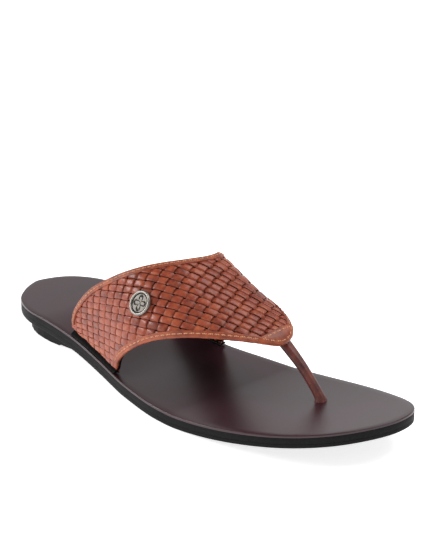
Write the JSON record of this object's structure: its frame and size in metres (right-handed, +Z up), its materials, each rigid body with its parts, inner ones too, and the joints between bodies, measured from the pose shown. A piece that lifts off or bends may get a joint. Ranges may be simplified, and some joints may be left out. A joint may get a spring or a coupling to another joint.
{
  "type": "flip flop",
  "caption": "Leather toe-post sandal for the right foot: woven leather vamp with bound edges and a round metal badge, on a flat leather footbed with a black rubber sole.",
  "frame": {"origin": "centre of the bounding box's underside, on the ground under the sole", "axes": "+X from heel to toe, +Y towards the inner (medial) side of the foot, +Z up"},
  "size_m": [0.3031, 0.096, 0.0763],
  "materials": {
    "outsole": "matt moulded",
    "midsole": "matt foam",
    "footbed_pad": "open cell foam",
    "footbed_cover": "satin, smooth",
    "woven_leather": "waxed cognac, woven strips",
    "edge_leather": "waxed tan, folded",
    "lining": "matt",
    "post_leather": "waxed, wrapped",
    "cord": "twisted cotton",
    "webbing": "matt woven tape",
    "thread": "waxed thread",
    "badge": "antique silver",
    "plated_steel": "plated"
  },
  "bodies": {
    "root": {"outsole": "outsole", "heel_lift": "outsole", "midsole": "midsole", "footbed_pad": "footbed_pad", "footbed_cover": "footbed_cover", "anchor_tab_lateral": "webbing", "anchor_tab_medial": "webbing", "vamp_woven_panel": "woven_leather", "vamp_lining": "lining", "back_edge_binding": "edge_leather", "front_edge_binding": "edge_leather", "tip_patch": "edge_leather", "back_edge_seam": "thread", "front_edge_seam_lateral": "thread", "front_edge_seam_medial": "thread", "tip_patch_seam": "thread", "toe_post_cover": "post_leather", "toe_post_cord": "cord", "toe_post_washer": "plated_steel", "badge": "badge", "badge_back_washer": "plated_steel"}
  },
  "joints": []
}
